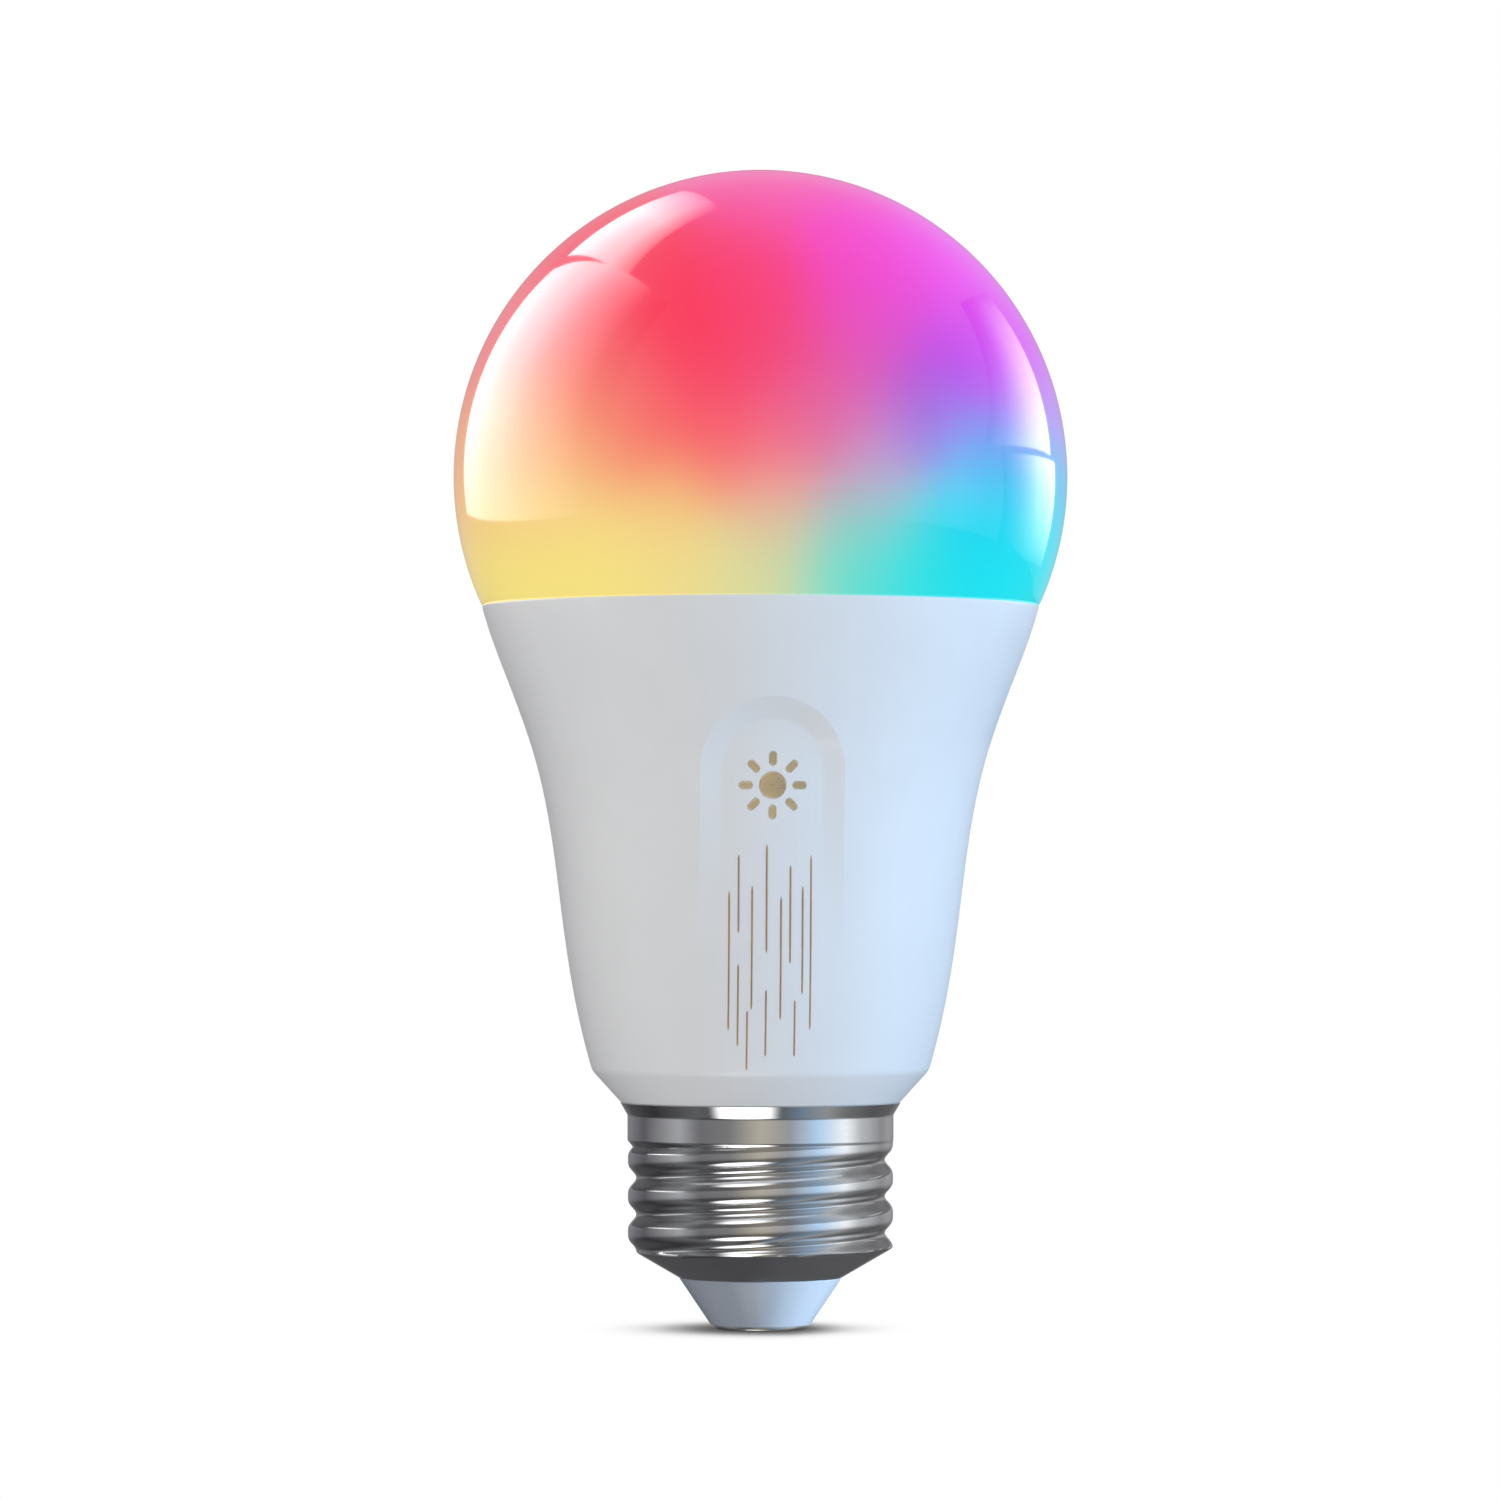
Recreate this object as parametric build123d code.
from build123d import *
import math
import os

# A smart LED bulb on a standard 26 mm screw base, in millimetres.
# The contact face is at the origin, +Z runs up the axis and the emblem faces -Y.

# ---- overall ----
OVERALL_HEIGHT = 115.0
DOME_DIAMETER = 61.0
DOME_WALL = 1.2
SEAM_DROP = 12.8

# ---- screw shell and contact ----
THREAD_PITCH = 25.4 / 7
THREAD_MAJOR_R = 13.15
THREAD_MINOR_R = 12.33
THREAD_STEPS = 8
SHELL_SHEET = 0.3
SHELL_CONE_BOTTOM_Z = 5.1
SHELL_CONE_BOTTOM_R = 8.1
SHELL_CONE_SLOPE = 0.583
BAND_R = 13.2
BAND_BOTTOM_Z = 18.7
RUN_OUT_HEIGHT = 1.1
LIP_START_Z = 21.2
LIP_R = 13.9
TIP_NOSE_R = 4.94
TIP_NOSE_Z = 0.4
TIP_CLEARANCE = 0.1
TIP_FLANGE_R = 11.6
TIP_FLANGE_Z = 9.2
TIP_BORE_FLOOR_Z = 2.4
CONTACT_R = 4.6
CONTACT_THICK = 0.9
CONTACT_EDGE = 0.25
STEM_R = 1.2
STEM_TOP_Z = 5.0
STEM_BORE_R = 0.5
CLINCH_R = 2.0
CLINCH_THICK = 0.5

# ---- housing ----
FOOT_Z = 22.4
FOOT_R = 13.8
FOOT_CORNER_Z = 25.6
FOOT_CORNER_R = 16.7
TAPER_RISE = 13.0
TAPER_FLARE = 2.7
WAIST_DROP = 14.9
WAIST_INSET = 5.2
SHOULDER_DROP = 7.0
SHOULDER_INSET = 2.4
WALL = 2.0
RIM_WALL = 2.05
NECK_R = 11.9
NECK_WALL = 2.0
BAND_CLEARANCE = 0.2
RAIL_REACH = 1.9
RAIL_THICK = 1.0
RAIL_TOP_Z = 24.0
LEAD_GROOVE_WIDTH = 1.0
LEAD_GROOVE_TOP_Z = 14.2
LEAD_ANGLE = -45.0

# ---- recess, emblem and trim ----
ARCH_OUTER_R = 7.0
ARCH_INNER_R = 4.9
ARCH_DROP = 16.6
RECESS_DEPTH = 0.95
RECESS_END_DEPTH = 0.03
RECESS_END_RISE = 12.2
INLAY_DEPTH = 0.3
INLAY_PROUD = 0.06
MARK_DROP = 1.5
MARK_DISC_R = 1.25
MARK_RAYS = 8
MARK_RAY_INNER = 1.95
MARK_RAY_OUTER = 3.2
MARK_RAY_WIDTH = 0.62
# each strip: place across, drop of its top below the topmost one, length
TRIM_STRIPS = (
    (-4.1, 4.5, 13.5),
    (-3.2, 1.0, 7.5),
    (-3.2, 11.5, 8.0),
    (-2.3, 16.0, 6.0),
    (-1.9, 4.0, 12.0),
    (-0.5, 0.0, 10.5),
    (-0.5, 14.0, 6.5),
    (0.9, 5.0, 12.0),
    (1.8, 2.0, 9.5),
    (2.3, 15.0, 5.5),
    (3.0, 4.0, 10.5),
    (3.8, 1.0, 17.0),
)
TRIM_FOOT_GAP = 0.3
TRIM_SHORTEST = 1.0
TRIM_WIDTH = 0.17
TRIM_TOP_DROP = 7.2
TRIM_DEPTH = 0.15

# ---- dome seat ----
SKIRT_WALL = 1.2
SKIRT_CLEARANCE = 0.15
SKIRT_DEPTH = 2.3
SEALANT_THICK = 0.4
SNAP_PROUD = 0.35
SNAP_HEIGHT = 0.8
SNAP_DROP = 1.5
SEAT_LIP = 1.2

# ---- heat sink and LED board ----
CUP_SHEET = 1.0
CUP_CLEARANCE = 0.1
CUP_BOTTOM_RISE = 12.4
PLATE_DROP = 4.95
PLATE_THICK = 1.2
PAD_THICK = 0.15
LED_BOARD_THICK = 1.5
LED_BOARD_GAP = 1.1
SCREW_CIRCLE_R = 12.0
SCREW_R = 1.2
SCREW_LENGTH = 5.0
SCREW_HEAD_R = 2.1
SCREW_HEAD_THICK = 1.6
BOSS_R = 2.4
BOSS_DEPTH = 2.6
WHITE_LED_COUNT = 18
WHITE_LED_EDGE_GAP = 6.2
WHITE_LED_SIZE = (2.8, 3.5, 0.7)
COLOUR_LED_COUNT = 6
COLOUR_LED_CIRCLE_R = 11.5
COLOUR_LED_SIZE = (5.0, 5.0, 1.6)

# ---- driver board ----
CARD_THICK = 1.2
CARD_BOTTOM_Z = 11.0
CARD_TOP_DROP = 9.2
CARD_NECK_HALF = 8.6
CARD_WIDE_HALF = 15.0
CARD_TAPER_LOW_Z = 27.0
CARD_TAPER_HIGH_Z = 36.0
CARD_CLEARANCE = 0.05
LEAD_R = 0.3
JACKET_R = 0.6
HOLE_CLEARANCE = 0.1
TAIL = 0.8
BEND = 0.8

# ---- radio module and pin header ----
RADIO_WIDTH = 15.4
RADIO_THICK = 0.8
RADIO_BOTTOM_DROP = 20.2
OUTPUT_TOP_Z = 48.5
RADIO_FOOT_GAP = 3.0
RADIO_TOP_RISE = 4.3
SHIELD_SIZE = (12.0, 2.2, 11.0)
SHIELD_SHEET = 0.2
SLOT_MARGIN = 0.4
PIN_COUNT = 6
PIN_PITCH = 2.54
PIN_SIZE = 0.64
PIN_OFFSET = 1.25
HEADER_HEIGHT = 2.5
SOCKET_HEIGHT = 3.5

# ---- positions that follow from the sizes above ----
DOME_R = DOME_DIAMETER / 2
DOME_CENTRE_Z = OVERALL_HEIGHT - DOME_R
SEAM_Z = DOME_CENTRE_Z - SEAM_DROP
RIM_R = math.sqrt(DOME_R ** 2 - SEAM_DROP ** 2)
THREAD_MEAN_R = (THREAD_MAJOR_R + THREAD_MINOR_R) / 2
THREAD_OFFSET = (THREAD_MAJOR_R - THREAD_MINOR_R) / 2
CONE_SHEET_R = SHELL_SHEET * math.hypot(1, SHELL_CONE_SLOPE) / SHELL_CONE_SLOPE
CONE_CLEARANCE_R = TIP_CLEARANCE * math.hypot(1, SHELL_CONE_SLOPE) / SHELL_CONE_SLOPE
ARCH_Z = SEAM_Z - ARCH_DROP
ARCH_TOP_Z = ARCH_Z + ARCH_OUTER_R
RECESS_END_Z = FOOT_CORNER_Z + RECESS_END_RISE
MARK_Z = ARCH_Z - MARK_DROP
TRIM_TOP_Z = ARCH_Z - TRIM_TOP_DROP
CUP_BOTTOM_Z = FOOT_CORNER_Z + CUP_BOTTOM_RISE
PLATE_Z = SEAM_Z - PLATE_DROP
PAD_Z = PLATE_Z + PLATE_THICK
LED_BOARD_Z = PAD_Z + PAD_THICK
LED_FACE_Z = LED_BOARD_Z + LED_BOARD_THICK
SOCKET_R = RIM_R - RIM_WALL
SKIRT_R = SOCKET_R - SKIRT_CLEARANCE
SKIRT_INNER_R = SKIRT_R - SKIRT_WALL
SKIRT_BOTTOM_Z = SEAM_Z - SKIRT_DEPTH
LED_BOARD_R = SKIRT_INNER_R - LED_BOARD_GAP
WHITE_LED_CIRCLE_R = LED_BOARD_R - WHITE_LED_EDGE_GAP
NECK_BORE_R = NECK_R - NECK_WALL
CARD_TOP_Z = SEAM_Z - CARD_TOP_DROP
CARD_FACE = CARD_THICK / 2
RADIO_Y = CARD_FACE + RADIO_THICK
RADIO_BOTTOM_Z = max(SEAM_Z - RADIO_BOTTOM_DROP, OUTPUT_TOP_Z + RADIO_FOOT_GAP)
RADIO_TOP_Z = SEAM_Z + RADIO_TOP_RISE
PIN_Y = -CARD_FACE - PIN_OFFSET
HEADER_Z = CARD_TOP_Z - 4.0

os.makedirs("parts", exist_ok=True)


# ---- shared helpers ----
def spun(*edges):
    """A solid of revolution from a closed outline drawn as (radius, height)."""
    return revolve(Plane.XZ * make_face(edges), axis=Axis.Z)


def spun_polygon(*points):
    """A solid of revolution from straight-sided (radius, height) points."""
    return spun(Polyline(*points, close=True))


def upright_prism(sketch, reach):
    """A sketch drawn as (x, z) pushed from the axis towards -Y."""
    return extrude(Plane.XZ * sketch, amount=reach)


def block(x_range, y_range, z_range):
    """A box given by its lower and upper limits."""
    low = Vector(x_range[0], y_range[0], z_range[0])
    high = Vector(x_range[1], y_range[1], z_range[1])
    size = high - low
    return Pos(*((low + high) / 2)) * Box(*size)


def pillar(x, y, z_range, radius):
    """An upright cylinder given by its axis and height limits."""
    height = z_range[1] - z_range[0]
    return Pos(x, y, z_range[0] + height / 2) * Cylinder(radius, height)


def group(shapes):
    """Several separate solids kept under one name."""
    return Compound(children=[solid for shape in shapes for solid in shape.solids()])


def bent_wire(points, radius, bend=BEND):
    """A round wire through the points, each corner eased by a smooth bend."""
    corners = [Vector(*point) for point in points]
    edges = []
    start = corners[0]
    for before, corner, after in zip(corners, corners[1:], corners[2:]):
        entry = corner + (before - corner).normalized() * bend
        leave = corner + (after - corner).normalized() * bend
        edges.append(Edge.make_line(start, entry))
        edges.append(Edge.make_bezier(entry, corner, leave))
        start = leave
    edges.append(Edge.make_line(start, corners[-1]))
    path = Wire(edges)
    section = Plane(origin=path @ 0, z_dir=path % 0) * Circle(radius)
    return sweep(section, path=path)


def save(shape, node):
    """Write one named piece."""
    export_step(shape, f"parts/{node}.step")


# ---- the housing outline, from which the inner walls also follow ----
OUTLINE = Spline(
    (FOOT_CORNER_R, FOOT_CORNER_Z),
    (FOOT_CORNER_R + TAPER_FLARE, FOOT_CORNER_Z + TAPER_RISE),
    (RIM_R - WAIST_INSET, SEAM_Z - WAIST_DROP),
    (RIM_R - SHOULDER_INSET, SEAM_Z - SHOULDER_DROP),
    (RIM_R, SEAM_Z),
    tangents=((0.3, 1.0), (0.25, 1.0)),
)


def outline_r(z):
    """Radius of the housing outside at a height, found by halving along the outline."""
    low = 0.0
    high = 1.0
    for _ in range(30):
        middle = (low + high) / 2
        if (OUTLINE @ middle).Y < z:
            low = middle
        else:
            high = middle
    return (OUTLINE @ low).X


def inset_curve(inset, z_low, z_high, stations=9):
    """The housing outline moved inwards, between two heights."""
    heights = [z_low + (z_high - z_low) * i / (stations - 1) for i in range(stations)]
    return Spline(*[(outline_r(z) - inset, z) for z in heights])


def recess_depth(z):
    """Depth of the recess floor below the outside, falling evenly to its lower end."""
    share = (z - RECESS_END_Z) / (ARCH_TOP_Z - RECESS_END_Z)
    return RECESS_END_DEPTH + (RECESS_DEPTH - RECESS_END_DEPTH) * share


def floor_body(inset):
    """Everything inside the recess floor, less an inset."""
    low = FOOT_CORNER_Z
    high = ARCH_TOP_Z + 1.0
    heights = [low + (high - low) * i / 12 for i in range(13)]
    points = [(outline_r(z) - recess_depth(z) - inset, z) for z in heights]
    return spun(Spline(*points), Polyline(points[-1], (0, high), (0, low), points[0]))


def skin_body(inset):
    """Everything inside the housing outline, less an inset."""
    curve = inset_curve(inset, FOOT_CORNER_Z, SEAM_Z, 17)
    return spun(curve, Polyline(curve @ 1, (0, SEAM_Z), (0, FOOT_CORNER_Z), curve @ 0))


# ---- recess, emblem and trim ----
def bevel_section(direction, centre_z):
    """One slice across the sloped recess border, along a direction in the XZ plane."""
    def surface_point(reach, radius_at):
        x = direction[0] * reach
        z = centre_z + direction[1] * reach
        return Vector(x, -math.sqrt(radius_at(z) ** 2 - x ** 2), z)

    foot = surface_point(ARCH_INNER_R, lambda z: outline_r(z) - recess_depth(z))
    crest = surface_point(ARCH_OUTER_R, outline_r)
    slope = crest - foot
    inner = foot - slope * 0.9
    outer = crest + slope * 0.15
    away = Vector(0, -3, 0)
    corners = [inner, outer, outer + away, inner + away]
    return Face(Wire.make_polygon(corners, close=True))


def recess_tool():
    """The arched recess with its sloped border, as the material taken away."""
    leg_steps = 4
    arc_steps = 12
    leg_heights = [RECESS_END_Z + (ARCH_Z - RECESS_END_Z) * i / leg_steps for i in range(leg_steps + 1)]
    turns = [math.pi * i / arc_steps for i in range(arc_steps + 1)]
    tool = loft([bevel_section((math.cos(turn), math.sin(turn)), ARCH_Z) for turn in turns])
    tool += loft([bevel_section((1, 0), z) for z in leg_heights])
    tool += loft([bevel_section((-1, 0), z) for z in leg_heights])
    core_r = ARCH_INNER_R - 1.0
    core = Pos(0, ARCH_Z) * Circle(core_r)
    core += Pos(0, (ARCH_Z + RECESS_END_Z) / 2) * Rectangle(2 * core_r, ARCH_Z - RECESS_END_Z)
    tool += upright_prism(core, RIM_R) - upright_prism(core, FOOT_CORNER_R / 2)
    return tool - floor_body(0)


def mark_prism():
    """A generic brightness symbol: a disc inside a ring of short rays."""
    ray_length = MARK_RAY_OUTER - MARK_RAY_INNER
    ray = Pos((MARK_RAY_OUTER + MARK_RAY_INNER) / 2, 0) * SlotOverall(ray_length, MARK_RAY_WIDTH)
    symbol = Circle(MARK_DISC_R)
    for index in range(MARK_RAYS):
        symbol += Rot(0, 0, 360 / MARK_RAYS * index) * ray
    return upright_prism(Pos(0, MARK_Z) * symbol, RIM_R)


def trim_prism():
    """Staggered upright strips, cut short where they would reach the foot."""
    strips = Sketch()
    for x, drop, length in TRIM_STRIPS:
        top = TRIM_TOP_Z - drop
        bottom = max(top - length, FOOT_CORNER_Z + TRIM_FOOT_GAP)
        if top - bottom > TRIM_SHORTEST:
            strips += Pos(x, (top + bottom) / 2) * Rectangle(TRIM_WIDTH, top - bottom)
    return upright_prism(strips, RIM_R)


# ---- housing ----
def housing_shell():
    """The spun white body: tapered wall, chamfered foot, shoulder and neck."""
    ledge_wall = WALL + CUP_CLEARANCE + CUP_SHEET
    shoulder_r = BAND_R - SHELL_SHEET - BAND_CLEARANCE
    shoulder_z = BAND_BOTTOM_Z + 0.6
    upper = inset_curve(WALL, CUP_BOTTOM_Z, SKIRT_BOTTOM_Z - SEALANT_THICK)
    lower = inset_curve(ledge_wall, FOOT_CORNER_Z + 1.4, CUP_BOTTOM_Z)
    outside = Polyline(
        OUTLINE @ 0,
        (FOOT_R, FOOT_Z),
        (shoulder_r, FOOT_Z),
        (shoulder_r, shoulder_z),
        (NECK_R, shoulder_z),
        (NECK_R, TIP_FLANGE_Z),
        (NECK_BORE_R, TIP_FLANGE_Z),
        (NECK_BORE_R, FOOT_Z + 0.2),
        lower @ 0,
    )
    ledge = Line(lower @ 1, upper @ 0)
    seat = Polyline(
        upper @ 1,
        (SOCKET_R, (upper @ 1).Y),
        (SOCKET_R, SEAM_Z),
        OUTLINE @ 1,
    )
    return spun(OUTLINE, outside, lower, ledge, upper, seat)


def snap_ring(inner_r, outer_r, grow):
    """A tapered ring under the dome seam: the snap bead, or the groove that takes it."""
    middle_z = SEAM_Z - SNAP_DROP
    half = SNAP_HEIGHT / 2 + grow
    return spun_polygon(
        (inner_r, middle_z - half),
        (outer_r, middle_z - half / 2),
        (outer_r, middle_z + half / 2),
        (inner_r, middle_z + half),
    )


def card_rails():
    """Pairs of ribs that hold the driver board upright, with a stop under its edge."""
    rail_inner = NECK_BORE_R - RAIL_REACH
    root = NECK_BORE_R + NECK_WALL / 2
    near = CARD_FACE + CARD_CLEARANCE
    far = near + RAIL_THICK
    pieces = []
    for side in (1, -1):
        x_range = (rail_inner, root) if side > 0 else (-root, -rail_inner)
        pieces.append(block(x_range, (near, far), (TIP_FLANGE_Z, RAIL_TOP_Z - 1.5)))
        pieces.append(block(x_range, (-far, -near), (TIP_FLANGE_Z, RAIL_TOP_Z - 1.5)))
        pieces.append(block(x_range, (-far, far), (CARD_BOTTOM_Z - 1.2, CARD_BOTTOM_Z)))
    return pieces


def lead_passage():
    """The notch through the neck and the groove outside it for the neutral lead."""
    half = LEAD_GROOVE_WIDTH / 2
    low = TIP_FLANGE_Z - 0.5
    notch = block((NECK_BORE_R - 0.6, NECK_R + 0.5), (-half, half), (low, TIP_FLANGE_Z + 1.4))
    groove = block((NECK_R - 0.8, NECK_R + 0.5), (-half, half), (low, LEAD_GROOVE_TOP_Z))
    return Rot(0, 0, LEAD_ANGLE) * (notch + groove)


def make_housing():
    """The finished housing, with the emblem and trim pockets, and the inlays that fill them."""
    body = housing_shell()
    for rail in card_rails():
        body += rail
    body -= lead_passage()
    body -= snap_ring(SOCKET_R - 0.3, SKIRT_R + SNAP_PROUD + SKIRT_CLEARANCE, 0.1)
    body -= recess_tool()
    mark = mark_prism()
    mark_slot = mark - floor_body(INLAY_DEPTH)
    mark_inlay = mark_slot & floor_body(-INLAY_PROUD)
    strips = trim_prism()
    strip_skin = (strips & body) - (skin_body(TRIM_DEPTH) & floor_body(TRIM_DEPTH))
    body -= mark_slot
    body -= strip_skin
    return body, mark_inlay, strip_skin


# ---- dome ----
def make_dome():
    """The milky dome: a hollow ball cut at the seam, with a skirt and snap bead below it."""
    inner_r = DOME_R - DOME_WALL
    lip_z = SEAM_Z + SEAT_LIP
    lip_drop = DOME_CENTRE_Z - lip_z
    lip_r = math.sqrt(inner_r ** 2 - lip_drop ** 2)
    outer_arc = ThreePointArc(
        (RIM_R, SEAM_Z),
        (DOME_R * math.cos(math.radians(35)), DOME_CENTRE_Z + DOME_R * math.sin(math.radians(35))),
        (0, OVERALL_HEIGHT),
    )
    inner_arc = ThreePointArc(
        (0, OVERALL_HEIGHT - DOME_WALL),
        (inner_r * math.cos(math.radians(35)), DOME_CENTRE_Z + inner_r * math.sin(math.radians(35))),
        (lip_r, lip_z),
    )
    crown = Line(outer_arc @ 1, inner_arc @ 0)
    foot = Polyline(
        (lip_r, lip_z),
        (SKIRT_INNER_R, lip_z),
        (SKIRT_INNER_R, SKIRT_BOTTOM_Z),
        (SKIRT_R, SKIRT_BOTTOM_Z),
        (SKIRT_R, SEAM_Z),
        (RIM_R, SEAM_Z),
    )
    return spun(outer_arc, crown, inner_arc, foot) + snap_ring(SKIRT_R - 0.3, SKIRT_R + SNAP_PROUD, 0)


def make_sealant():
    """The silicone bead between the skirt and the floor of its seat."""
    low = SKIRT_BOTTOM_Z - SEALANT_THICK
    return spun_polygon(
        (SKIRT_INNER_R + 0.4, low),
        (SOCKET_R, low),
        (SOCKET_R, SKIRT_BOTTOM_Z),
        (SKIRT_INNER_R + 0.4, SKIRT_BOTTOM_Z),
    )


# ---- screw shell, insulator and contact ----
def thread_bar(mean_r, trim):
    """A screw-shaped bar: an off-centre circle that goes round once per pitch, trimmed to an outline."""
    low = SHELL_CONE_BOTTOM_Z - 1.0
    steps = math.ceil((BAND_BOTTOM_Z + 0.4 - low) / THREAD_PITCH * THREAD_STEPS)
    sections = []
    for index in range(steps + 1):
        turn = 2 * math.pi * index / THREAD_STEPS
        z = low + THREAD_PITCH * index / THREAD_STEPS
        centre = Pos(THREAD_OFFSET * math.cos(turn), THREAD_OFFSET * math.sin(turn), z)
        sections.append(centre * Circle(mean_r))
    return loft(sections) & trim


def make_screw_shell():
    """The rolled sheet shell: cone, thread, plain band and flared lip, one sheet thick."""
    def filled(inset, cone_inset, bottom_z):
        cone_r = SHELL_CONE_BOTTOM_R - cone_inset
        reach = THREAD_MAJOR_R + 1.0
        cone_top_z = SHELL_CONE_BOTTOM_Z + (reach - cone_r) * SHELL_CONE_SLOPE
        bottom_r = cone_r - (SHELL_CONE_BOTTOM_Z - bottom_z) / SHELL_CONE_SLOPE
        trim = spun_polygon(
            (0, bottom_z),
            (bottom_r, bottom_z),
            (reach, cone_top_z),
            (reach, BAND_BOTTOM_Z + 0.3),
            (0, BAND_BOTTOM_Z + 0.3),
        )
        band = spun_polygon(
            (0, BAND_BOTTOM_Z - RUN_OUT_HEIGHT),
            (THREAD_MINOR_R - inset, BAND_BOTTOM_Z - RUN_OUT_HEIGHT),
            (BAND_R - inset, BAND_BOTTOM_Z),
            (BAND_R - inset, LIP_START_Z),
            (LIP_R - inset, FOOT_Z),
            (0, FOOT_Z),
        )
        return thread_bar(THREAD_MEAN_R - inset, trim) + band

    outer = filled(0, 0, SHELL_CONE_BOTTOM_Z)
    inner = filled(SHELL_SHEET, CONE_SHEET_R, SHELL_CONE_BOTTOM_Z - 0.5)
    top = spun_polygon(
        (0, FOOT_Z - 0.05),
        (LIP_R - SHELL_SHEET, FOOT_Z - 0.05),
        (LIP_R - SHELL_SHEET, FOOT_Z + 0.5),
        (0, FOOT_Z + 0.5),
    )
    return outer - inner - top


def make_base_adhesive():
    """The adhesive ring that holds the plain band on the housing shoulder."""
    band_inner = BAND_R - SHELL_SHEET
    return spun_polygon(
        (band_inner - BAND_CLEARANCE, BAND_BOTTOM_Z + 0.8),
        (band_inner, BAND_BOTTOM_Z + 0.8),
        (band_inner, LIP_START_Z - 0.3),
        (band_inner - BAND_CLEARANCE, LIP_START_Z - 0.3),
    )


def make_insulator():
    """The moulded tip: a tapered nose below the shell and a flanged plug inside it."""
    seat_r = SHELL_CONE_BOTTOM_R - CONE_SHEET_R - CONE_CLEARANCE_R
    flange_low = SHELL_CONE_BOTTOM_Z + (TIP_FLANGE_R - seat_r) * SHELL_CONE_SLOPE
    recess_r = CONTACT_R + TIP_CLEARANCE
    return spun_polygon(
        (STEM_R, TIP_BORE_FLOOR_Z),
        (STEM_R, CONTACT_THICK),
        (recess_r, CONTACT_THICK),
        (recess_r, TIP_NOSE_Z),
        (TIP_NOSE_R, TIP_NOSE_Z),
        (SHELL_CONE_BOTTOM_R, SHELL_CONE_BOTTOM_Z),
        (seat_r, SHELL_CONE_BOTTOM_Z),
        (TIP_FLANGE_R, flange_low),
        (TIP_FLANGE_R, TIP_FLANGE_Z),
        (NECK_BORE_R, TIP_FLANGE_Z),
        (seat_r - 1.3, SHELL_CONE_BOTTOM_Z),
        (CLINCH_R + 2.0, TIP_BORE_FLOOR_Z),
    )


def make_contact():
    """The centre contact: a flat rivet with a rounded edge, a clinched collar and a bored stem."""
    solid = spun_polygon(
        (0, 0),
        (CONTACT_R, 0),
        (CONTACT_R, CONTACT_THICK),
        (STEM_R, CONTACT_THICK),
        (STEM_R, TIP_BORE_FLOOR_Z),
        (CLINCH_R, TIP_BORE_FLOOR_Z),
        (CLINCH_R, TIP_BORE_FLOOR_Z + CLINCH_THICK),
        (STEM_R, TIP_BORE_FLOOR_Z + CLINCH_THICK),
        (STEM_R, STEM_TOP_Z),
        (0, STEM_TOP_Z),
    )
    rim = solid.edges().filter_by(GeomType.CIRCLE).sort_by(Axis.Z)[0]
    solid = fillet(rim, CONTACT_EDGE)
    return solid - pillar(0, 0, (CONTACT_THICK + 0.6, STEM_TOP_Z + 1), STEM_BORE_R)


# ---- heat sink, pad and LED board ----
SCREW_SPOTS = [
    (SCREW_CIRCLE_R * math.cos(math.radians(angle)), SCREW_CIRCLE_R * math.sin(math.radians(angle)))
    for angle in (30, 150, 270)
]


def radio_slot(z_range):
    """The opening that lets the radio module and its shield can through a plate."""
    half = RADIO_WIDTH / 2 + SLOT_MARGIN
    return block((-half, half), (CARD_FACE - 0.3, RADIO_Y + SHIELD_SIZE[1] + SLOT_MARGIN), z_range)


def pin_slot(z_range, margin):
    """The opening that lets the pin row through a plate."""
    half_x = (PIN_COUNT - 1) / 2 * PIN_PITCH + PIN_SIZE / 2 + margin
    half_y = PIN_SIZE / 2 + margin
    return block((-half_x, half_x), (PIN_Y - half_y, PIN_Y + half_y), z_range)


def make_heat_sink():
    """The aluminium cup that lines the housing, with screw bosses under its plate."""
    outer = inset_curve(WALL + CUP_CLEARANCE, CUP_BOTTOM_Z, PAD_Z)
    inner = inset_curve(WALL + CUP_CLEARANCE + CUP_SHEET, CUP_BOTTOM_Z, PLATE_Z)
    top = Polyline(outer @ 1, (0, PAD_Z), (0, PLATE_Z), inner @ 1)
    cup = spun(outer, top, inner, Line(inner @ 0, outer @ 0))
    for x, y in SCREW_SPOTS:
        cup += pillar(x, y, (PLATE_Z - BOSS_DEPTH, PLATE_Z + PLATE_THICK / 2), BOSS_R)
        cup -= pillar(x, y, (PLATE_Z - BOSS_DEPTH - 1, PAD_Z + 1), SCREW_R)
    reach = (PLATE_Z - BOSS_DEPTH - 1, PAD_Z + 1)
    return cup - radio_slot(reach) - pin_slot(reach, 0.7)


def make_disc(radius, z_range, screw_margin, pin_margin):
    """A round plate with the screw holes and the two openings cut through it."""
    disc = pillar(0, 0, z_range, radius)
    reach = (z_range[0] - 1, z_range[1] + 1)
    for x, y in SCREW_SPOTS:
        disc -= pillar(x, y, reach, SCREW_R + screw_margin)
    return disc - radio_slot(reach) - pin_slot(reach, pin_margin)


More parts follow.
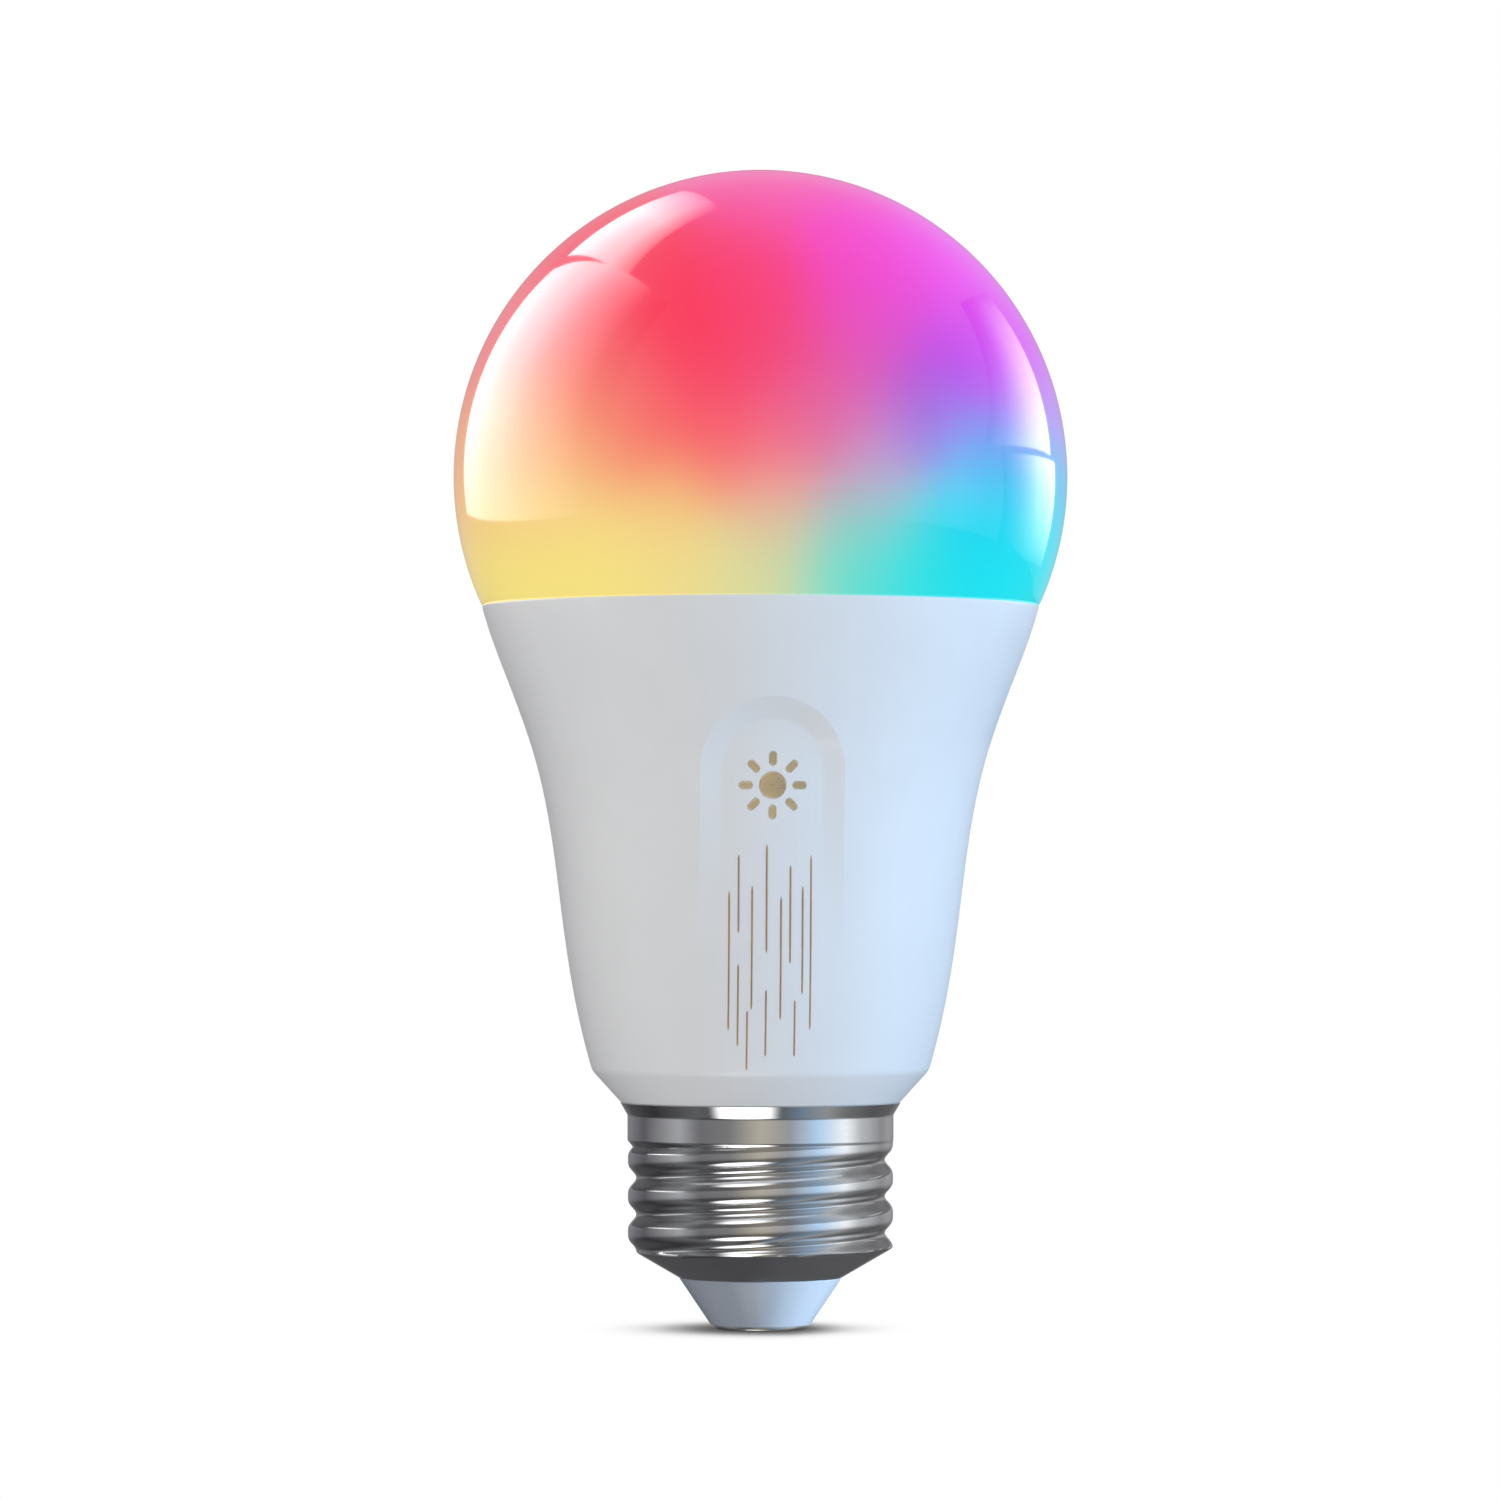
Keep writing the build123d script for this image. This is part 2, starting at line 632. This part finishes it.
def make_screws():
    """Three pan-head screws with a cross recess, driven into the bosses."""
    screws = []
    for x, y in SCREW_SPOTS:
        screw = pillar(x, y, (LED_FACE_Z - SCREW_LENGTH, LED_FACE_Z), SCREW_R)
        head = pillar(x, y, (LED_FACE_Z, LED_FACE_Z + SCREW_HEAD_THICK), SCREW_HEAD_R)
        crown = head.faces().sort_by(Axis.Z)[-1].edges()
        screw += fillet(crown, SCREW_HEAD_THICK / 3)
        top = (LED_FACE_Z + SCREW_HEAD_THICK / 2, LED_FACE_Z + SCREW_HEAD_THICK + 1)
        screw -= block((x - 1.2, x + 1.2), (y - 0.25, y + 0.25), top)
        screw -= block((x - 0.25, x + 0.25), (y - 1.2, y + 1.2), top)
        screws.append(screw)
    return screws


def led_pair(size, window, depth):
    """An LED case with a pocket in its top, and the fill that sits in the pocket."""
    case = Pos(0, 0, size[2] / 2) * Box(*size)
    fill = extrude(window, amount=depth)
    fill = Pos(0, 0, size[2] - depth) * fill
    return case - fill, fill


def around(shape, radius, start, step, count):
    """Copies of a shape set on a circle on the LED board, all facing outwards."""
    copies = []
    for index in range(count):
        copies.append(Rot(0, 0, start + step * index) * Pos(radius, 0, LED_FACE_Z) * shape)
    return copies


# ---- board socket, header and radio module ----
PIN_XS = [(index - (PIN_COUNT - 1) / 2) * PIN_PITCH for index in range(PIN_COUNT)]


def pin_bar(x, z_range):
    """One straight square pin."""
    half = PIN_SIZE / 2
    return block((x - half, x + half), (PIN_Y - half, PIN_Y + half), z_range)


def make_pins():
    """The row of square pins, each with a foot that turns in to the driver board."""
    pins = []
    half = PIN_SIZE / 2
    low = HEADER_Z - 1.4
    for x in PIN_XS:
        pin = pin_bar(x, (low, LED_FACE_Z + SOCKET_HEIGHT - 0.5))
        pin += block((x - half, x + half), (PIN_Y - half, -CARD_FACE), (low, low + PIN_SIZE))
        pins.append(pin)
    return pins


def pin_block(z_range):
    """The moulded bar around the pins."""
    half_x = (PIN_COUNT - 1) / 2 * PIN_PITCH + PIN_PITCH / 2
    bar = block((-half_x, half_x), (PIN_Y - PIN_OFFSET, PIN_Y + PIN_OFFSET), z_range)
    for x in PIN_XS:
        bar -= pin_bar(x, (z_range[0] - 1, z_range[1] + 1))
    return bar


def make_antenna():
    """The flat folded antenna at the top of the radio module."""
    face = (RADIO_Y, RADIO_Y + 0.08)
    top = RADIO_TOP_Z - 0.8
    low = top - 4.6
    bar = 0.6
    reach = RADIO_WIDTH / 2 - 1.2
    antenna = block((-reach, reach), face, (top - bar, top))
    for index in range(6):
        x = -reach + index * (2 * reach - bar) / 5
        antenna += block((x, x + bar), face, (low, top))
        if index % 2 == 0:
            antenna += block((x, x + (2 * reach - bar) / 5 + bar), face, (low, low + bar))
    return antenna


def make_shield():
    """The pressed shield can, open towards its board."""
    half = SHIELD_SIZE[0] / 2
    z_range = (RADIO_BOTTOM_Z + 1.0, RADIO_BOTTOM_Z + 1.0 + SHIELD_SIZE[2])
    can = block((-half, half), (RADIO_Y, RADIO_Y + SHIELD_SIZE[1]), z_range)
    can = fillet(can.faces().sort_by(Axis.Y)[-1].edges(), 0.5)
    hollow_x = (-half + SHIELD_SHEET, half - SHIELD_SHEET)
    hollow_z = (z_range[0] + SHIELD_SHEET, z_range[1] - SHIELD_SHEET)
    return can - block(hollow_x, (RADIO_Y - 1, RADIO_Y + SHIELD_SIZE[1] - SHIELD_SHEET), hollow_z)


# ---- driver board and what is soldered to it ----
BULK = {"x": 0.0, "y": 5.0, "z": (9.6, 21.6), "r": 4.0, "up": True}
OUTPUT = {"x": -5.0, "y": 5.4, "z": (OUTPUT_TOP_Z - 12.0, OUTPUT_TOP_Z), "r": 4.0, "up": False}
CAPACITORS = (BULK, OUTPUT)
SLEEVE_THICK = 0.2
LEAD_SPACING = 3.5
FUSE = {"x": -3.5, "y": -4.2, "z": (14.0, 23.4), "r": 1.7}
CHOKE = {"x": 5.2, "y": 5.4, "z": (27.5, 37.0), "r": 4.0}
VARISTOR = {"z": 32.0, "y": -5.4, "r": 3.5, "thick": 3.0}
VARISTOR_LEAD_X = 0.7
LEG_LENGTH = 0.7
LEG_WIDTH = 0.4
LEG_HEIGHT = 0.75
TRANSFORMER = {"z": 46.0, "y": -6.4}
TRANSFORMER_PIN_XS = (-3.2, 0.0, 3.2)


def lead_exit(part, side):
    """Height just clear of a part's end where its leads turn towards the board."""
    return part["z"][1] + 1.7 if side else part["z"][0] - 1.7


def capacitor_pieces(part):
    """A can, its shrink sleeve and its two leads, standing along the board."""
    low, high = part["z"]
    lip = SLEEVE_THICK
    can_r = part["r"] - SLEEVE_THICK
    can = pillar(part["x"], part["y"], (low + lip, high - lip), can_r)
    sleeve = pillar(part["x"], part["y"], (low, high), part["r"])
    sleeve -= can
    sleeve -= pillar(part["x"], part["y"], (low - 1, high + 1), can_r - 0.7)
    end = high - lip if part["up"] else low + lip
    turn = lead_exit(part, part["up"])
    leads = []
    for x in (part["x"] - LEAD_SPACING / 2, part["x"] + LEAD_SPACING / 2):
        points = ((x, part["y"], end), (x, part["y"], turn), (x, -CARD_FACE - TAIL, turn))
        leads.append(bent_wire(points, LEAD_R))
    return can, sleeve, leads


def make_fuse():
    """The fusible resistor, its open-ended heat-shrink sleeve and its upper lead."""
    low, high = FUSE["z"]
    body = pillar(FUSE["x"], FUSE["y"], (low + 0.6, high - 0.6), FUSE["r"] - SLEEVE_THICK)
    body = fillet(body.edges().filter_by(GeomType.CIRCLE), 0.5)
    sleeve = pillar(FUSE["x"], FUSE["y"], (low, high), FUSE["r"])
    sleeve -= pillar(FUSE["x"], FUSE["y"], (low - 1, high + 1), FUSE["r"] - SLEEVE_THICK)
    turn = high + 1.6
    x, y = FUSE["x"], FUSE["y"]
    upper = bent_wire(((x, y, high - 0.6), (x, y, turn), (x, CARD_FACE + TAIL, turn)), LEAD_R)
    return body, sleeve, upper


def make_live_lead():
    """The lead from the fuse down into the contact stem, bare at both ends."""
    start = Vector(FUSE["x"], FUSE["y"], FUSE["z"][0] + 0.6)
    points = (
        start,
        (FUSE["x"], FUSE["y"], 11.6),
        (-0.2, -1.8, 8.6),
        (0, 0, 6.6),
        (0, 0, CONTACT_THICK + 0.8),
    )
    core = bent_wire(points, LEAD_R)
    jacket_points = (
        (FUSE["x"], FUSE["y"], 13.4),
        (FUSE["x"], FUSE["y"], 11.6),
        (-0.2, -1.8, 8.6),
        (0, 0, 6.6),
        (0, 0, STEM_TOP_Z + 0.3),
    )
    return core, bent_wire(jacket_points, JACKET_R) - core


def make_neutral_lead():
    """The lead from the board out through the neck notch and up against the screw shell."""
    out_x = math.cos(math.radians(LEAD_ANGLE))
    out_y = math.sin(math.radians(LEAD_ANGLE))
    notch_z = TIP_FLANGE_Z + 0.75
    groove_r = NECK_R - 0.3
    points = (
        (5.0, CARD_FACE + TAIL, 14.0),
        (5.0, -3.2, 14.0),
        (8.4 * out_x, 8.4 * out_y, notch_z),
        (groove_r * out_x, groove_r * out_y, notch_z),
        (groove_r * out_x, groove_r * out_y, LEAD_GROOVE_TOP_Z - 0.5),
    )
    core = bent_wire(points, LEAD_R)
    start = Vector(5.0, -3.2, 14.0)
    end = Vector(8.4 * out_x, 8.4 * out_y, notch_z)
    along = (end - start).normalized()
    jacket = bent_wire((start - Vector(0, -1.6, 0), start, end - along * 1.4), JACKET_R)
    return core, jacket - core


def make_transformer():
    """The power transformer: two-window core, flanged bobbin, winding, tape and pins."""
    y, z = TRANSFORMER["y"], TRANSFORMER["z"]
    core = block((-6.5, 6.5), (y - 2.5, y + 2.5), (z - 6.2, z + 6.2))
    core -= block((1.75, 4.85), (y - 3, y + 3), (z - 4.1, z + 4.1))
    core -= block((-4.85, -1.75), (y - 3, y + 3), (z - 4.1, z + 4.1))
    tube_x, tube_y = 2.2, 3.1
    bobbin = block((-tube_x, tube_x), (y - tube_y, y + tube_y), (z - 3.9, z + 3.9))
    for low in (z - 3.9, z + 3.1):
        bobbin += block((-4.7, 4.7), (y - 4.6, -CARD_FACE), (low, low + 0.8))
    bobbin -= block((-1.8, 1.8), (y - 2.55, y + 2.55), (z - 5, z + 5))
    spool = block((-tube_x, tube_x), (y - tube_y, y + tube_y), (z - 5, z + 5))
    winding = block((-4.4, 4.4), (y - 4.3, y + 4.3), (z - 3.1, z + 3.1))
    winding = fillet(winding.edges().filter_by(Axis.Z), 1.6) - spool
    tape = block((-4.55, 4.55), (y - 4.45, y + 4.45), (z - 2.7, z + 2.7))
    tape = fillet(tape.edges().filter_by(Axis.Z), 1.75)
    hollow = block((-4.4, 4.4), (y - 4.3, y + 4.3), (z - 4, z + 4))
    tape -= fillet(hollow.edges().filter_by(Axis.Z), 1.6)
    pins = []
    for x in TRANSFORMER_PIN_XS:
        for height in (z - 3.5, z + 3.5):
            pins.append(Pos(x, -CARD_FACE + 1.0, height) * Rot(90, 0, 0) * Cylinder(LEAD_R, 2.0))
    return core, bobbin, winding, tape, pins


def make_choke():
    """The drum choke: a flanged ferrite spool, its winding and two leads."""
    x, y, radius = CHOKE["x"], CHOKE["y"], CHOKE["r"]
    low, high = CHOKE["z"]
    flange = 1.2
    core = pillar(x, y, (low, high), radius)
    ring = pillar(x, y, (low + flange, high - flange), radius + 1) - pillar(x, y, (low, high), radius / 2)
    core -= ring
    winding = pillar(x, y, (low + flange, high - flange), radius - 0.5)
    winding -= pillar(x, y, (low, high), radius / 2)
    turn = low - 1.7
    leads = []
    for lead_x in (x - 2.0, x + 2.0):
        points = ((lead_x, y, low), (lead_x, y, turn), (lead_x, -CARD_FACE - TAIL, turn))
        leads.append(bent_wire(points, LEAD_R))
    return core, winding, leads


def varistor_exit(side):
    """Height where each varistor lead turns towards the board, one below the other."""
    return VARISTOR["z"] - VARISTOR["r"] - (1.4 if side > 0 else 2.8)


def make_varistor():
    """The surge-limiting disc on edge, with its two leads."""
    disc = Pos(0, VARISTOR["y"], VARISTOR["z"]) * Rot(0, 90, 0) * Cylinder(VARISTOR["r"], VARISTOR["thick"])
    disc = fillet(disc.edges().filter_by(GeomType.CIRCLE), 1.0)
    leads = []
    for side in (1, -1):
        y = VARISTOR["y"] + side * 1.6
        x = side * VARISTOR_LEAD_X
        turn = varistor_exit(side)
        points = ((x, y, VARISTOR["z"] - 1.5), (x, y, turn), (x, CARD_FACE + TAIL, turn))
        leads.append(bent_wire(points, LEAD_R))
    for lead in leads:
        disc -= lead
    return disc, leads


def on_card(x, z, size, front):
    """A box standing on one face of the driver board, its size as (x, height off board, z)."""
    half_x, half_z = size[0] / 2, size[2] / 2
    start = -CARD_FACE - size[1] if front else CARD_FACE
    return block((x - half_x, x + half_x), (start, start + size[1]), (z - half_z, z + half_z))


def chip_legs(x, z, front, beside, body_half, count, pitch):
    """Short flat legs along two opposite sides of a chip: beside it, or above and below."""
    legs = []
    reach = body_half + LEG_LENGTH / 2
    for side in (1, -1):
        for index in range(count):
            offset = (index - (count - 1) / 2) * pitch
            if beside:
                size = (LEG_LENGTH, LEG_HEIGHT, LEG_WIDTH)
                legs.append(on_card(x + side * reach, z + offset, size, front))
            else:
                size = (LEG_WIDTH, LEG_HEIGHT, LEG_LENGTH)
                legs.append(on_card(x + offset, z + side * reach, size, front))
    return legs


def make_card(holes):
    """The driver board outline with its lead holes."""
    outline = Polyline(
        (-CARD_NECK_HALF, CARD_BOTTOM_Z),
        (CARD_NECK_HALF, CARD_BOTTOM_Z),
        (CARD_NECK_HALF, CARD_TAPER_LOW_Z),
        (CARD_WIDE_HALF, CARD_TAPER_HIGH_Z),
        (CARD_WIDE_HALF, CARD_TOP_Z),
        (-CARD_WIDE_HALF, CARD_TOP_Z),
        (-CARD_WIDE_HALF, CARD_TAPER_HIGH_Z),
        (-CARD_NECK_HALF, CARD_TAPER_LOW_Z),
        close=True,
    )
    card = extrude(Plane.XZ * make_face(outline), amount=CARD_FACE, both=True)
    for x, z in holes:
        card -= Pos(x, 0, z) * Rot(90, 0, 0) * Cylinder(LEAD_R + HOLE_CLEARANCE, CARD_THICK + 2)
    return card


def card_holes():
    """Where each through lead crosses the driver board, as (x, z)."""
    holes = [(5.0, 14.0), (FUSE["x"], FUSE["z"][1] + 1.6)]
    for part in CAPACITORS:
        for side in (1, -1):
            holes.append((part["x"] + side * LEAD_SPACING / 2, lead_exit(part, part["up"])))
    for side in (1, -1):
        holes.append((CHOKE["x"] + side * 2.0, CHOKE["z"][0] - 1.7))
        holes.append((side * VARISTOR_LEAD_X, varistor_exit(side)))
    for x in TRANSFORMER_PIN_XS:
        holes.append((x, TRANSFORMER["z"] - 3.5))
        holes.append((x, TRANSFORMER["z"] + 3.5))
    return holes


# ---- write every piece ----
def write_outside():
    """The pieces that can be seen on the finished bulb."""
    housing, mark, trim = make_housing()
    save(housing, "housing")
    save(group([mark]), "mark_inlay")
    save(group([trim]), "trim_lines")
    save(make_dome(), "dome")
    save(make_screw_shell(), "screw_shell")
    save(make_insulator(), "tip_insulator")
    save(make_contact(), "contact_rivet")


def write_light_engine():
    """The seals, the heat sink, the LED board and what is mounted on it."""
    save(make_sealant(), "dome_sealant")
    save(make_base_adhesive(), "base_adhesive")
    save(make_heat_sink(), "heat_sink")
    save(make_disc(LED_BOARD_R - 0.4, (PAD_Z, LED_BOARD_Z), 0.5, 0.5), "thermal_pad")
    save(make_disc(LED_BOARD_R, (LED_BOARD_Z, LED_FACE_Z), 0.15, 0.3), "led_board")
    save(group(make_screws()), "board_screws")
    white_step = 360 / WHITE_LED_COUNT
    white_case, white_fill = led_pair(WHITE_LED_SIZE, RectangleRounded(2.1, 2.8, 0.4), 0.45)
    for name, start in (("cool", 0.5), ("warm", 1.5)):
        angle = start * white_step
        count = WHITE_LED_COUNT // 2
        cases = around(white_case, WHITE_LED_CIRCLE_R, angle, 2 * white_step, count)
        fills = around(white_fill, WHITE_LED_CIRCLE_R, angle, 2 * white_step, count)
        save(group(cases), f"{name}_led_cases")
        save(group(fills), f"{name}_led_phosphor")
    colour_case, colour_fill = led_pair(COLOUR_LED_SIZE, Circle(2.0), 0.9)
    step = 360 / COLOUR_LED_COUNT
    save(group(around(colour_case, COLOUR_LED_CIRCLE_R, 0, step, COLOUR_LED_COUNT)), "colour_led_cases")
    save(group(around(colour_fill, COLOUR_LED_CIRCLE_R, 0, step, COLOUR_LED_COUNT)), "colour_led_windows")
    save(pin_block((LED_FACE_Z, LED_FACE_Z + SOCKET_HEIGHT)), "board_socket")


def write_electronics():
    """The driver board, the radio module and every soldered part."""
    save(make_card(card_holes()), "driver_board")
    save(pin_block((HEADER_Z, HEADER_Z + HEADER_HEIGHT)), "header_body")
    save(group(make_pins()), "header_pins")
    half = RADIO_WIDTH / 2
    save(block((-half, half), (CARD_FACE, RADIO_Y), (RADIO_BOTTOM_Z, RADIO_TOP_Z)), "radio_board")
    save(make_shield(), "radio_shield")
    save(make_antenna(), "radio_antenna")
    pieces = [capacitor_pieces(part) for part in CAPACITORS]
    save(group([piece[0] for piece in pieces]), "capacitor_cans")
    save(group([piece[1] for piece in pieces]), "capacitor_sleeves")
    save(group([lead for piece in pieces for lead in piece[2]]), "capacitor_leads")
    fuse_body, fuse_sleeve, fuse_lead = make_fuse()
    save(fuse_body, "fuse_body")
    save(fuse_sleeve, "fuse_sleeve")
    save(fuse_lead, "fuse_lead")
    live_core, live_jacket = make_live_lead()
    neutral_core, neutral_jacket = make_neutral_lead()
    save(live_core, "live_core")
    save(live_jacket, "live_jacket")
    save(neutral_core, "neutral_core")
    save(neutral_jacket, "neutral_jacket")
    core, bobbin, winding, tape, pins = make_transformer()
    save(core, "transformer_core")
    save(bobbin, "transformer_bobbin")
    save(winding, "transformer_winding")
    save(tape, "transformer_tape")
    save(group(pins), "transformer_pins")
    choke_core, choke_winding, choke_leads = make_choke()
    save(choke_core, "choke_core")
    save(choke_winding, "choke_winding")
    save(group(choke_leads), "choke_leads")
    disc, disc_leads = make_varistor()
    save(disc, "varistor_disc")
    save(group(disc_leads), "varistor_leads")
    bridge = on_card(3.6, 19.0, (4.6, 1.6, 4.0), True)
    driver_chip = on_card(-3.6, 30.5, (4.0, 1.5, 5.0), False)
    logic_chip = on_card(10.6, 50.0, (4.0, 1.5, 5.0), True)
    save(bridge, "bridge_rectifier")
    save(group([driver_chip, logic_chip]), "driver_chips")
    legs = chip_legs(3.6, 19.0, True, False, 2.0, 2, 2.54)
    legs += chip_legs(-3.6, 30.5, False, True, 2.0, 4, 1.27)
    legs += chip_legs(10.6, 50.0, True, True, 2.0, 4, 1.27)
    save(group(legs), "chip_legs")
    small_xs = (-12.8, -9.6, 9.6, 12.8)
    resistors = [on_card(x, z, (1.25, 0.55, 2.0), True) for x in small_xs for z in (40.0, 44.0)]
    chips = [on_card(x, z, (1.25, 1.0, 2.0), True) for x in (-12.8, -9.6) for z in (50.0, 54.0)]
    save(group(resistors), "small_resistors")
    save(group(chips), "small_capacitors")


write_outside()
write_light_engine()
write_electronics()
